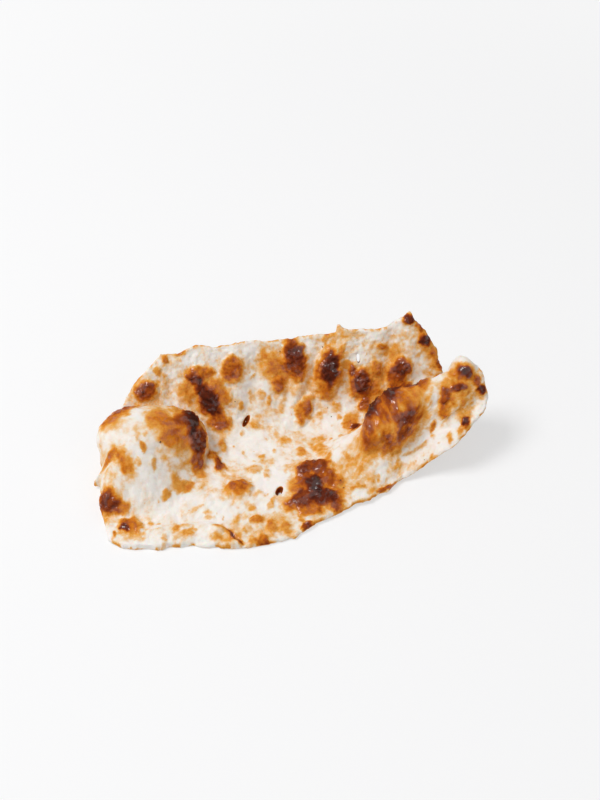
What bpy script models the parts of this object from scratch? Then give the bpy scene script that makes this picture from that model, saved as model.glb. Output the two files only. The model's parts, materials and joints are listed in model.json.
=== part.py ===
"""Naan bread: one large flat loaf from a clay oven, draped while it was still soft.

The bread is a single sheet of dough. On the flat sheet, s runs along the length and t across
it, and t = 0 is the line of the sag. The sheet is bent about lines that run along s: the back
half stands up as a wall, and the front half rises to a ridge and falls to a free edge. The
dome at the left end and the blisters lift the top face only, as the oven puffs them, so the
underside stays a plain sheet that the bread rests on.

All sizes below are in millimetres.
"""
import math

import bmesh
import bpy
import numpy as np

MM = 0.001

# The sheet
THICKNESS = 5.0            # of the dough between its blisters
RIM_ROUNDING = 3.0         # distance over which the sheet's rim rounds off
RIM_SHARE = 0.3            # share of the thickness left at the rim itself
PUFF_ROUNDING = 13.0       # distance over which a puffed rim rounds off
GRID_LONG = 50             # cells along the length
GRID_WIDE = 36             # cells across
RIM_ROWS = (0.0, 1.3, 3.2, 6.5)   # distances of the outermost rows from the rim
BASE_FLAT = 1.2            # the underside is flat where it lies this close to its lowest point

# The outline of the flat sheet, as (s, t), side by side from corner to corner
BACK_SIDE = ((-88, 112), (-60, 108), (-20, 100), (20, 93), (60, 84), (95, 73), (122, 75))
RIGHT_SIDE = ((148, -92), (156, -70), (148, -42), (143, -4), (142, 22), (135, 50), (122, 75))
FRONT_SIDE = (
    (-158, -47), (-125, -58), (-95, -73), (-62, -88), (-30, -94), (0, -84),
    (32, -80), (60, -90), (95, -102), (122, -104), (148, -92),
)
LEFT_SIDE = ((-158, -47), (-170, -32), (-171, 0), (-160, 32), (-141, 70), (-116, 96), (-88, 112))

# The bends, at stations along s from the left end to the right
FIRST_STATION = -175.0
STATION_STEP = 50.0
SAG_PLACE = (10, 12, 20, 22, 20, 17, 14, 12)        # where the line of the sag lies across
SAG_HEIGHT = (1, 0, 0, 0, 1, 11, 24, 32)            # how high it lies
WALL_ANGLE = (26, 40, 48, 50, 51, 52, 55, 58)       # slope of the back wall, in degrees
WALL_FOOT = (36, 34, 30, 24, 20, 12, 9, 9)          # where the bend of the wall is centred
RISE_ANGLE = (0, 2, 4, 6, 24, 78, 84, 84)           # slope from the sag up to the front ridge
RISE_LENGTH = (20, 25, 35, 40, 32, 36, 50, 50)      # length of that slope
FALL_ANGLE = (0, 1, 2, 3, 11, 47, 62, 60)           # slope from the ridge down to the front
SHELF_START = (60, 60, 90, 100, 70, 80, 76, 72)     # where the fall levels off to the free edge
RISE_BEND = 16.0           # length over which the sag turns into the rise
RIDGE_BEND = 26.0          # length over which the rise turns into the fall
SHELF_BEND = 14.0          # length over which the fall levels off
SHELF_SHARE = 0.8          # how much of the fall is gone on the shelf
BEND_STEPS = 40            # steps in which the slope is followed from the sag

# The dome at the left end: steep at its back and right, long and gentle in front
DOME_CENTRE = (-126, 14)
DOME_REACH = (50, 60)
DOME_HEIGHT = 45.0
DOME_STEEP_SIDE = 50.0     # direction of its steepest side, in degrees from s towards t
DOME_ARC = 100.0           # arc of the steep side, past 90 degrees so that it overhangs
DOME_APRON = 1.18          # how much further the gentle side runs

# The main blisters: place (s, t), half length, half width, turn in degrees, height
BLISTERS = (
    (80, -46, 29, 24, -30, 13),     # the mound on the front ridge
    (129, -76, 17, 20, 0, 7),       # the bubbles at the right end of the ridge
    (143, -46, 12, 14, 0, 8),
    (-58, 62, 25, 12, 114, 6),      # on the back wall, from left to right
    (-35, 76, 14, 9, 60, 3),
    (4, 78, 10, 9, 0, 3),
    (5, 56, 9, 8, 0, 3),
    (24, 71, 16, 10, 100, 6),
    (23, 27, 15, 10, 65, 5),
    (43, 54, 20, 12, 82, 7),
    (74, 36, 17, 12, 105, 6),
    (88, 42, 11, 9, 90, 3),
    (107, 25, 17, 10, 95, 5),
    (131, 49, 9, 8, 0, 3),
    (-108, 88, 14, 10, 30, 5),      # at the left rim
    (-162, -6, 12, 15, 0, 5),
    (-152, -28, 14, 9, -20, 4),
    (-72, 36, 12, 22, 0, 4),        # down the dome's steep side
    (-58, -28, 12, 12, 0, 5),       # on the floor and the front
    (-78, -62, 24, 9, 112, 5),
    (8, -31, 17, 10, 10, 4),
    (-2, -46, 13, 12, 0, 7),
    (-21, -60, 13, 10, 30, 4),
    (11, -76, 11, 10, 0, 3),
)


def clear_scene():
    """Start from an empty scene."""
    for thing in list(bpy.data.objects):
        bpy.data.objects.remove(thing, do_unlink=True)


def ease(x):
    """Go smoothly from 0 to 1 as x goes from 0 to 1."""
    x = np.clip(x, 0.0, 1.0)
    return x * x * (3.0 - 2.0 * x)


def cubic(before, start, end, after, x):
    """Catmull-Rom curve from start to end as x goes from 0 to 1."""
    return 0.5 * (
        2.0 * start
        + (end - before) * x
        + (2.0 * before - 5.0 * start + 4.0 * end - after) * x ** 2
        + (3.0 * start - before - 3.0 * end + after) * x ** 3
    )


def along(stations, s):
    """Value at s of a measure given at the stations."""
    values = np.asarray(stations, float)
    last = len(values) - 1
    place = np.clip((s - FIRST_STATION) / STATION_STEP, 0.0, last - 1e-6)
    index = np.floor(place).astype(int)
    near = [values[np.clip(index + shift, 0, last)] for shift in (-1, 0, 1, 2)]
    return cubic(*near, place - index)


def side_curve(points, share):
    """Point at a share of the length of a smooth curve through one side's points."""
    knots = np.array(points, float)
    knots = np.vstack([2.0 * knots[0] - knots[1], knots, 2.0 * knots[-1] - knots[-2]])
    x = np.linspace(0.0, 1.0, 40, endpoint=False)[:, None]
    pieces = [cubic(*knots[first:first + 4], x) for first in range(len(knots) - 3)]
    curve = np.vstack(pieces + [knots[-2:-1]])
    steps = np.linalg.norm(np.diff(curve, axis=0), axis=1)
    reached = np.concatenate([[0.0], np.cumsum(steps)])
    reached /= reached[-1]
    return np.stack([np.interp(share, reached, curve[:, axis]) for axis in (0, 1)], axis=-1)


def flat_sheet(a, b):
    """Flat place (s, t) of a point at shares a of the length and b of the width."""
    front, back = side_curve(FRONT_SIDE, a), side_curve(BACK_SIDE, a)
    left, right = side_curve(LEFT_SIDE, b), side_curve(RIGHT_SIDE, b)
    front_left, front_right = np.array(FRONT_SIDE[0]), np.array(FRONT_SIDE[-1])
    back_left, back_right = np.array(BACK_SIDE[0]), np.array(BACK_SIDE[-1])
    a, b = a[..., None], b[..., None]
    sides = (1 - b) * front + b * back + (1 - a) * left + a * right
    corners = (1 - b) * ((1 - a) * front_left + a * front_right)
    corners = corners + b * ((1 - a) * back_left + a * back_right)
    return sides - corners


def slope(s, t):
    """Slope across the draped sheet at (s, t), in radians, positive towards the back."""
    ahead = -t
    wall = along(WALL_ANGLE, s) * ease(t / (2.0 * along(WALL_FOOT, s)))
    rise = along(RISE_ANGLE, s) * ease(ahead / RISE_BEND)
    past_ridge = ease((ahead - along(RISE_LENGTH, s)) / RIDGE_BEND + 0.5)
    turn = (along(RISE_ANGLE, s) + along(FALL_ANGLE, s)) * past_ridge
    shelf = SHELF_SHARE * along(FALL_ANGLE, s) * ease((ahead - along(SHELF_START, s)) / SHELF_BEND)
    return np.radians(np.where(t > 0.0, wall, turn - rise - shelf))


def drape(s, t):
    """Points of the bent sheet, followed in small steps from the line of the sag."""
    y = along(SAG_PLACE, s)
    z = along(SAG_HEIGHT, s)
    step = t / BEND_STEPS
    for count in range(BEND_STEPS):
        angle = slope(s, step * (count + 0.5))
        y = y + np.cos(angle) * step
        z = z + np.sin(angle) * step
    return np.stack([s, y, z], axis=-1)


def dome(s, t):
    """Shift of the top face by the dome, as (along, across, up)."""
    x = (s - DOME_CENTRE[0]) / DOME_REACH[0]
    y = (t - DOME_CENTRE[1]) / DOME_REACH[1]
    radius = np.hypot(x, y)
    steep = ease(0.5 + 0.75 * np.cos(np.arctan2(y, x) - math.radians(DOME_STEEP_SIDE)))
    inside = np.clip(radius, 1e-6, 1.0)
    arc = math.radians(DOME_ARC)
    cap = (np.cos(inside * arc) - math.cos(arc)) / (1.0 - math.cos(arc))
    apron = np.cos(np.clip(radius / DOME_APRON, 0.0, 1.0) * math.pi / 2.0) ** 1.7
    bulge = steep * (np.sin(inside * arc) / math.sin(arc) / inside - 1.0) * (radius < 1.0)
    up = DOME_HEIGHT * (steep * cap + (1.0 - steep) * apron)
    return np.stack([bulge * x * DOME_REACH[0], bulge * y * DOME_REACH[1], up], axis=-1)


def blister_height(s, t):
    """Height of the blisters above the sheet."""
    height = np.zeros_like(s)
    for place_s, place_t, half_length, half_width, turn, rise in BLISTERS:
        cos, sin = math.cos(math.radians(turn)), math.sin(math.radians(turn))
        x = ((s - place_s) * cos + (t - place_t) * sin) / half_length
        y = ((t - place_t) * cos - (s - place_s) * sin) / half_width
        height = height + rise * np.clip(1.0 - x * x - y * y, 0.0, 1.0) ** 1.2
    return height


def facing(points):
    """Unit normals of a grid of points."""
    normals = np.cross(np.gradient(points, axis=0), np.gradient(points, axis=1))
    return normals / np.linalg.norm(normals, axis=-1, keepdims=True)


def rounding(distance, reach):
    """Quarter-round from 0 at the rim to 1 at reach from it."""
    inward = np.clip(distance / reach, 0.0, 1.0)
    return np.sqrt(1.0 - (1.0 - inward) ** 2)


def row_shares(count, size):
    """Shares of a side at which the rows lie: close by the rim, and even in between."""
    rim = np.array(RIM_ROWS)
    middle = np.linspace(rim[-1], size - rim[-1], count + 3 - 2 * len(rim))[1:-1]
    return np.concatenate([rim, middle, size - rim[::-1]]) / size


def faces_of_bread():
    """Grids of points of the top face and of the underside."""
    long_side, wide_side = 325.0, 195.0
    along_share = row_shares(GRID_LONG, long_side)
    across_share = row_shares(GRID_WIDE, wide_side)
    a, b = np.meshgrid(along_share, across_share, indexing="ij")
    flat = flat_sheet(a, b)
    s, t = flat[..., 0], flat[..., 1]
    to_rim = np.minimum(np.minimum(a, 1 - a) * long_side, np.minimum(b, 1 - b) * wide_side)
    half = 0.5 * THICKNESS * np.maximum(rounding(to_rim, RIM_ROUNDING), RIM_SHARE)[..., None]
    puff = rounding(to_rim, PUFF_ROUNDING)[..., None]

    sheet = drape(s, t)
    underside = sheet - facing(sheet) * half
    puffed = sheet + dome(s, t) * puff
    top = puffed + facing(sheet) * half + facing(puffed) * blister_height(s, t)[..., None] * puff

    floor = underside[..., 2].min() + BASE_FLAT
    underside[..., 2] = np.maximum(underside[..., 2], floor)
    both = np.concatenate([top.reshape(-1, 3), underside.reshape(-1, 3)])
    centre = (both.max(axis=0) + both.min(axis=0)) / 2.0
    shift = np.array([centre[0], centre[1], floor])
    return (top - shift) * MM, (underside - shift) * MM


def build_bread():
    """Make the bread as a grid that is extruded down to its underside."""
    top, underside = faces_of_bread()
    bm = bmesh.new()
    bmesh.ops.create_grid(bm, x_segments=GRID_LONG, y_segments=GRID_WIDE, size=0.5)
    cells = {vert: (round((vert.co.x + 0.5) * GRID_LONG), round((vert.co.y + 0.5) * GRID_WIDE))
             for vert in bm.verts}
    sheet_faces = list(bm.faces)
    made = bmesh.ops.extrude_face_region(bm, geom=sheet_faces, use_keep_orig=True)
    upper = [item for item in made["geom"] if isinstance(item, bmesh.types.BMVert)]
    for vert in upper:
        cell = (round((vert.co.x + 0.5) * GRID_LONG), round((vert.co.y + 0.5) * GRID_WIDE))
        vert.co = top[cell]
    for vert, cell in cells.items():
        vert.co = underside[cell]
    bmesh.ops.triangulate(bm, faces=bm.faces)
    bmesh.ops.recalc_face_normals(bm, faces=bm.faces)
    mesh = bpy.data.meshes.new("naan")
    bm.to_mesh(mesh)
    bm.free()
    return bpy.data.objects.new("naan", mesh)


def baked_dough():
    """Matt cream crust of baked dough."""
    material = bpy.data.materials.new("baked dough")
    material.use_nodes = True
    shader = material.node_tree.nodes["Principled BSDF"]
    shader.inputs["Base Color"].default_value = (0.78, 0.62, 0.42, 1.0)
    shader.inputs["Roughness"].default_value = 0.7
    shader.inputs["Metallic"].default_value = 0.0
    return material


def main():
    clear_scene()
    collection = bpy.data.collections.new("Naan bread")
    bpy.context.scene.collection.children.link(collection)
    bread = build_bread()
    bread.data.materials.append(baked_dough())
    collection.objects.link(bread)


main()
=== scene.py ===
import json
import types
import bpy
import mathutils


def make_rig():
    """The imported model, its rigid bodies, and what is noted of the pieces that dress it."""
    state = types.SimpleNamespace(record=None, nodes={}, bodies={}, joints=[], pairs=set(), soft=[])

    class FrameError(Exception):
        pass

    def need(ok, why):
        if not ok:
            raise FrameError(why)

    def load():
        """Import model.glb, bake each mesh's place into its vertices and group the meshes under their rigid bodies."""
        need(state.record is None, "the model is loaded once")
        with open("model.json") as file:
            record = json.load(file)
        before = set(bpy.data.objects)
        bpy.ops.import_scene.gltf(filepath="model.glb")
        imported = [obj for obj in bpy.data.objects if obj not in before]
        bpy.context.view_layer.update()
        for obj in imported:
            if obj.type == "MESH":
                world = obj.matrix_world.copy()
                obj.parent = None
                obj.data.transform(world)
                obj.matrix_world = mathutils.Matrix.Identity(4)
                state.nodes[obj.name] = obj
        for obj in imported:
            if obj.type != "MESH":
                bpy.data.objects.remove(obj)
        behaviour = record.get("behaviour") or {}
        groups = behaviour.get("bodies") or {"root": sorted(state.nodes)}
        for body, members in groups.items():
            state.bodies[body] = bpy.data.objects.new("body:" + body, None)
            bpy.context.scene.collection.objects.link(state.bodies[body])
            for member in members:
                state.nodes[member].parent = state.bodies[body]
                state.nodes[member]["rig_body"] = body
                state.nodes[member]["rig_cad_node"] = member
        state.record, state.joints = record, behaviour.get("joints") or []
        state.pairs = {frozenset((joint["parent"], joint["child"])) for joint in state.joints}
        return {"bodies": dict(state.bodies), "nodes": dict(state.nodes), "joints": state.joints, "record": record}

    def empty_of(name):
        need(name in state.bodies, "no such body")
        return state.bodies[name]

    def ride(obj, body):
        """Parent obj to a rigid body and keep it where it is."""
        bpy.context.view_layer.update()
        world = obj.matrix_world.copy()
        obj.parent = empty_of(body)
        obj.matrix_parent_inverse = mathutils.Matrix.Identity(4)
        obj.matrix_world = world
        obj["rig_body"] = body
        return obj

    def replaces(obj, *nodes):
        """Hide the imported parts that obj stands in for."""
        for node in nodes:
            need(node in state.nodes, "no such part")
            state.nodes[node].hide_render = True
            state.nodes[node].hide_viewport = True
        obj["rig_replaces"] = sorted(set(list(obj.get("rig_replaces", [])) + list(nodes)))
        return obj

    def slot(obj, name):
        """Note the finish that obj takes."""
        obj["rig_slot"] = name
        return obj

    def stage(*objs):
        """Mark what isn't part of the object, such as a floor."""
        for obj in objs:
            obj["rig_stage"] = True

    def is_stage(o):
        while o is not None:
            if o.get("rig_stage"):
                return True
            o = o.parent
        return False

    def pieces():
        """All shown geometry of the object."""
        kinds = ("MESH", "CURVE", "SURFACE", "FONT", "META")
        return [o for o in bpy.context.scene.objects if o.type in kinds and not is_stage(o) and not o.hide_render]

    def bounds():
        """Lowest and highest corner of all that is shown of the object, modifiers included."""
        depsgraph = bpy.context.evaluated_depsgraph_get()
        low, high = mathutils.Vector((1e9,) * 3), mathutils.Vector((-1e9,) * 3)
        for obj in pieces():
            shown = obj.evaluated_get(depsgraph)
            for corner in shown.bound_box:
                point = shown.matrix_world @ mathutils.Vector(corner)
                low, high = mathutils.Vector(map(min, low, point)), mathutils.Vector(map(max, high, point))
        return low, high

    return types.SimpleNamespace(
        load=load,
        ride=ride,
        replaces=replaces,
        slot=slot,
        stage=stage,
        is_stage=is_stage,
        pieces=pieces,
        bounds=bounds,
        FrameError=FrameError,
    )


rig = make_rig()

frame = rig.load()

# The looks of a naan bread: a flat loaf draped while soft, with a puffed dome, blisters baked
# brown to black, buttered gloss on the darkest of them and a dry, matt cream crust in between.
# Its sizes are in millimetres and are turned into metres when a mesh is filled.

import json
import math
from collections import namedtuple

import bmesh
import bpy
import numpy as np
from bpy.props import FloatProperty, FloatVectorProperty, IntProperty, PointerProperty
from mathutils import Matrix, Vector, noise

bl_info = {
    "name": "Naan Bread",
    "version": (1, 0, 0),
    "blender": (4, 5, 0),
    "location": "View3D > Sidebar > Naan",
    "description": "Builds a draped, blistered naan bread and a plain stage to show it on",
    "category": "Add Mesh",
}

MM = 0.001
CAD_BOX = [list(corner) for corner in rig.bounds()]
SIZE_FILE = "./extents.json"

# ---- The sheet: flat outline, bends and dome ----
# s runs along the length and t across it.

LONG_SIDE = 325.0
WIDE_SIDE = 195.0
GRID_LONG = 262            # cells along the length
GRID_WIDE = 188            # cells across
RIM_ROWS = (0.0, 0.4, 1.0, 1.8, 2.8, 4.0)   # distances of the outermost rows from the rim

BACK_SIDE = (
    (-88, 112), (-76, 107), (-60, 108), (-40, 103), (-20, 100), (0, 97), (20, 93), (40, 89),
    (58, 85), (63, 91), (68, 87), (76, 81), (95, 73), (110, 74), (122, 77),
)
RIGHT_SIDE = (
    (148, -93), (156, -82), (157, -66), (152, -52), (147, -42), (143, -20), (143, -4),
    (143, 14), (139, 34), (133, 56), (122, 77),
)
FRONT_SIDE = (
    (-158, -47), (-140, -56), (-125, -59), (-108, -66), (-95, -74), (-80, -84), (-62, -89),
    (-45, -92), (-30, -94), (-12, -88), (5, -85), (32, -81), (60, -90), (80, -97), (95, -103),
    (122, -106), (148, -93),
)
LEFT_SIDE = ((-158, -47), (-170, -32), (-171, 0), (-160, 32), (-141, 70), (-116, 96), (-88, 112))

FIRST_STATION = -175.0
STATION_STEP = 50.0
SAG_PLACE = (10, 12, 20, 22, 20, 17, 14, 12)        # where the line of the sag lies across
SAG_HEIGHT = (1, 0, 0, 0, 1, 11, 24, 32)            # how high it lies
WALL_ANGLE = (26, 40, 48, 50, 51, 52, 55, 58)       # slope of the back wall, in degrees
WALL_FOOT = (36, 34, 30, 24, 20, 12, 9, 9)          # where the bend of the wall is centred
RISE_ANGLE = (0, 2, 4, 6, 24, 78, 84, 84)           # slope from the sag up to the front ridge
RISE_LENGTH = (20, 25, 35, 40, 32, 36, 50, 50)      # length of that slope
FALL_ANGLE = (0, 1, 2, 3, 11, 47, 62, 60)           # slope from the ridge down to the front
SHELF_START = (60, 60, 90, 100, 70, 80, 76, 72)     # where the fall levels off to the free edge
RISE_BEND = 16.0           # length over which the sag turns into the rise
RIDGE_BEND = 26.0          # length over which the rise turns into the fall
SHELF_BEND = 14.0          # length over which the fall levels off
SHELF_SHARE = 0.8          # how much of the fall is gone on the shelf
BEND_STEPS = 40            # steps in which the slope is followed from the sag

DOME_CENTRE = (-129, 26)
DOME_REACH = (60, 45)
DOME_SQUARENESS = 1.8      # 2 for an oval plan, more for a squarer one
DOME_STEEP_SIDE = 64.0     # direction of its steepest side, in degrees from s towards t
DOME_ARC = 106.0           # arc of the steep side, past 90 degrees so that it overhangs
DOME_APRON = 1.18          # how much further the gentle side runs

SHEET_PLACE = (8.0, -18.2, 1.4)     # moves the sheet so that it rests on the floor, centred
PUFF_ROUNDING = 13.0       # distance over which a puffed rim rounds off
RIM_SHARE = 0.3            # share of the thickness left at the rim itself

# ---- What the oven made of it, and a few patches of painted shade ----
# Places and half sizes are in millimetres and turns in degrees. Bake goes from 0, pale,
# through 0.5, golden, and 0.9, brown, to 1.3, charred.

Swelling = namedtuple("Swelling", "s t long wide turn height")
Blister = namedtuple("Blister", "s t long wide turn height bake")
Patch = namedtuple("Patch", "s t long wide turn bake")
Hole = namedtuple("Hole", "s t long wide turn foot")
Lip = namedtuple("Lip", "start end height reach bake")
Flake = namedtuple("Flake", "s t length width")
Wave = namedtuple("Wave", "strength size seed")

# Large, smooth swellings
SWELLINGS = (
    Swelling(80, -46, 29, 24, -30, 13),
    Swelling(58, -42, 12, 13, 80, 5),
    Swelling(111, -30, 13, 10, 60, 4),
    Swelling(129, -76, 17, 20, 0, 6),
    Swelling(143, -46, 12, 14, 0, 8),
    Swelling(-128, -50, 26, 13, -25, 3),
    Swelling(-100, -58, 20, 10, -30, 3),
)

# Soft folds that run down the back wall: long, low ridges and the hollows between them
WALL_FOLDS = (
    Swelling(21, 50, 46, 7, 57, 3.5),
    Swelling(-16, 63, 44, 9, 66, -3.0),
    Swelling(-32, 66, 38, 8, 70, 2.0),
    Swelling(60, 62, 32, 8, 62, 2.5),
    Swelling(100, 52, 34, 8, 72, -3.0),
    Swelling(117, 44, 30, 8, 76, 2.0),
    Swelling(36, 66, 34, 7, 60, -2.5),
    Swelling(-88, 78, 26, 8, 78, -2.0),
)

BACK_BLISTERS = (
    # the dark fold at the left with its arms
    Blister(-58, 61, 21, 10, -78, 6.0, 1.16),
    Blister(-66, 82, 11, 5, -44, 4.0, 0.95),
    Blister(-59, 85, 14, 8, -20, 3.0, 0.66),
    Blister(-75, 75, 12, 9, 76, 1.5, 0.46),
    Blister(-54, 40, 13, 10, -48, 3.5, 0.72),
    Blister(-47, 65, 16, 10, -79, 3.5, 0.58),
    Blister(-33, 80, 14, 10, 66, 4.0, 0.76),
    # the oval in the middle and the collapsed ring beside it
    Blister(22, 76, 21, 11, 89, 6.5, 0.92),
    Blister(23, 81, 11, 8, -80, 2.0, 0.80),
    Blister(4, 77, 12, 9, -53, 2.5, 0.45),
    Blister(3, 57, 8, 6, 64, 3.5, 0.72),
    Blister(13, 72, 12, 9, 80, 0.5, 0.24),
    # the long black one, the golden one below it and its stem
    Blister(47, 54, 24, 13, 71, 7.0, 0.66),
    Blister(50, 56, 18, 8, 73, 2.0, 1.14),
    Blister(20, 29, 18, 8, 56, 5.0, 0.60),
    Blister(24, 29, 9, 4, 61, 1.0, 0.62),
    Blister(32, 19, 5, 4, 82, 0.8, 0.32),
    Blister(51, 81, 6, 2, 84, 0.6, 0.40),
    # the broad one at the right
    Blister(73, 35, 13, 9, 81, 6.0, 0.98),
    Blister(66, 37, 12, 5, 79, 4.0, 0.66),
    Blister(67, 48, 6, 3, 71, 2.0, 0.80),
    Blister(71, 14, 11, 6, 84, 3.0, 0.70),
    Blister(87, 42, 9, 6, -89, 2.5, 0.56),
    Blister(82, 24, 9, 7, 80, 1.5, 0.50),
    # the folded one by the right edge
    Blister(109, 35, 10, 8, -44, 5.0, 0.90),
    Blister(102, 26, 17, 9, 82, 4.5, 0.80),
    Blister(108, 18, 7, 5, -73, 3.0, 0.62),
    # the one half hidden behind the ridge
    Blister(53, 2, 13, 8, 62, 2.5, 0.52),
    Blister(55, -9, 10, 6, 70, 3.0, 1.05),
    # small ones
    Blister(61, 65, 5, 3, 85, 1.2, 0.56),
    Blister(64, 55, 5, 4, -65, 1.0, 0.46),
    Blister(-32, 47, 5, 3, 67, 1.0, 0.48),
    Blister(-57, 16, 10, 4, 85, 2.5, 0.44),
    Blister(-25, 28, 5, 5, -22, 1.2, 0.42),
    Blister(-22, 53, 7, 3, 74, 0.8, 0.34),
    Blister(-13, 53, 5, 4, 79, 0.8, 0.32),
    Blister(-8, 46, 6, 3, 73, 0.8, 0.36),
    Blister(-4, 86, 7, 5, 77, 1.0, 0.42),
    Blister(8, 95, 6, 2, -9, 0.6, 0.38),
    Blister(3, 40, 7, 3, 56, 0.6, 0.26),
    Blister(48, 22, 6, 5, 79, 0.8, 0.36),
    Blister(47, 12, 4, 3, 81, 0.6, 0.32),
    Blister(24, -6, 7, 5, 80, 0.8, 0.36),
    Blister(16, -5, 5, 3, 72, 0.5, 0.30),
    Blister(-6, 4, 5, 4, 19, 0.6, 0.32),
    Blister(-10, 14, 4, 3, -15, 0.5, 0.28),
    Blister(95, 59, 5, 3, -24, 1.2, 0.62),
    Blister(101, 72, 3, 2, -34, 0.5, 0.42),
    Blister(101, 52, 3, 2, -56, 0.5, 0.34),
)

RIM_BLISTERS = (
    Blister(121, 72, 6, 5, -43, 2.5, 1.05),
    Blister(128, 62, 6, 3, -65, 1.5, 0.70),
    Blister(130, 50, 7, 6, -90, 3.0, 1.18),
    Blister(136, 36, 6, 3, -82, 1.0, 0.60),
    Blister(140, 24, 6, 4, -78, 1.0, 0.72),
    Blister(139, 10, 7, 5, 20, 2.5, 1.10),
    Blister(-108, 88, 12, 9, -33, 4.5, 0.92),
    Blister(-85, 107, 4, 3, -44, 1.5, 0.62),
    Blister(-72, 106, 5, 2, -6, 0.8, 0.58),
    Blister(-94, 99, 5, 3, 81, 1.0, 0.42),
    Blister(-163, -4, 11, 9, -73, 5.0, 1.00),
    Blister(-156, -11, 8, 7, -62, 2.5, 0.58),
    Blister(-153, -27, 12, 8, -40, 3.0, 0.66),
    Blister(-157, -29, 6, 4, -59, 1.0, 1.00),
    Blister(-166, -31, 4, 2, 80, 0.5, 0.66),
    Blister(-18, -88, 6, 4, 21, 1.5, 0.85),
    Blister(57, -87, 15, 2, -30, 0.5, 0.78),
)

DOME_BLISTERS = (
    # the browned edge at the back left
    Blister(-137, 44, 8, 5, 86, 1.5, 0.66),
    Blister(-131, 54, 13, 5, 86, 1.5, 0.82),
    Blister(-124, 58, 12, 4, 80, 1.5, 0.60),
    # the charred shoulder
    Blister(-104, 31, 8, 6, 21, 1.5, 0.76),
    Blister(-98, 33, 11, 7, 45, 2.5, 1.02),
    Blister(-98, 29, 8, 4, 71, 2.0, 1.22),
    Blister(-92, 19, 13, 8, -30, 3.0, 1.00),
    Blister(-88, 7, 11, 7, -50, 2.0, 0.76),
    Blister(-86, -3, 9, 6, -60, 1.0, 0.52),
    # the small fold at its foot
    Blister(-71, 9, 9, 4, -60, 2.5, 0.58),
    Blister(-67, -2, 9, 4, -83, 2.5, 0.92),
    # golden patches on top
    Blister(-118, 33, 9, 7, 80, 0.8, 0.50),
    Blister(-112, 27, 10, 6, -27, 1.0, 0.56),
    Blister(-111, 20, 9, 5, -48, 0.8, 0.58),
    Blister(-105, 24, 6, 4, -32, 0.5, 0.46),
    Blister(-128, 27, 5, 2, 88, 0.4, 0.32),
    Blister(-126, 18, 5, 3, -77, 0.6, 0.50),
    Blister(-153, 23, 9, 4, 5, 1.0, 0.68),
    Blister(-145, 18, 6, 4, -71, 0.6, 0.50),
    Blister(-142, 9, 7, 5, -50, 0.8, 0.54),
    Blister(-106, -8, 8, 5, 75, 1.0, 0.46),
    Blister(-99, -12, 7, 5, 5, 0.8, 0.52),
    Blister(-117, -14, 6, 4, 11, 0.6, 0.44),
    Blister(-110, 3, 8, 2, -87, 0.4, 0.28),
)

FRONT_BLISTERS = (
    # the round one
    Blister(-59, -34, 13, 10, -20, 5.5, 0.70),
    # the burnt, buttered cluster
    Blister(8, -37, 16, 9, -13, 4.5, 0.92),
    Blister(0, -53, 11, 9, 60, 6.5, 1.16),
    Blister(14, -48, 12, 9, 76, 3.5, 0.74),
    Blister(20, -57, 9, 5, 40, 2.0, 0.56),
    Blister(-5, -42, 14, 6, 67, 3.0, 0.72),
    Blister(-14, -51, 10, 8, -78, 2.5, 0.48),
    Blister(-13, -63, 13, 9, 10, 4.0, 0.94),
    Blister(-24, -66, 9, 7, -67, 2.0, 0.60),
    Blister(-10, -75, 12, 8, -19, 2.5, 0.66),
    Blister(4, -67, 14, 10, -20, 4.5, 1.08),
    Blister(11, -76, 11, 7, 74, 2.0, 0.82),
    Blister(-20, -79, 5, 4, 76, 0.8, 0.46),
    Blister(3, -14, 7, 5, 76, 1.0, 0.44),
    Blister(20, -19, 12, 7, 82, 1.5, 0.42),
    Blister(22, -33, 7, 4, 61, 1.5, 0.48),
    # scattered ones
    Blister(-39, -19, 7, 5, -23, 1.5, 0.40),
    Blister(-31, -25, 9, 3, 74, 1.2, 0.32),
    Blister(-30, -8, 6, 4, 74, 1.0, 0.34),
    Blister(-54, -56, 4, 3, -29, 1.0, 0.42),
    Blister(-40, -58, 5, 4, 76, 1.0, 0.32),
    Blister(-33, -55, 6, 5, -17, 0.6, 0.26),
    Blister(-70, -62, 5, 3, 47, 1.0, 0.38),
    Blister(-55, -68, 6, 5, -7, 2.0, 0.54),
    Blister(-46, -78, 8, 5, 78, 2.0, 0.54),
    Blister(-64, -73, 6, 4, -30, 0.8, 0.30),
    Blister(-35, -81, 6, 5, 80, 1.2, 0.40),
    Blister(-56, -88, 7, 5, 77, 2.5, 0.74),
    Blister(-64, -85, 6, 4, 71, 1.0, 0.42),
    Blister(-137, -32, 3, 2, -20, 0.5, 0.36),
    Blister(-131, -42, 5, 2, -18, 0.5, 0.30),
    Blister(-120, -46, 4, 3, 67, 0.6, 0.38),
    Blister(-113, -45, 8, 2, -16, 0.5, 0.34),
    Blister(-109, -54, 9, 4, -23, 0.8, 0.38),
    Blister(-97, -36, 7, 3, 3, 0.6, 0.32),
    Blister(-89, -43, 6, 3, -39, 0.6, 0.30),
    Blister(-91, -48, 4, 3, -42, 0.5, 0.28),
)

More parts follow.
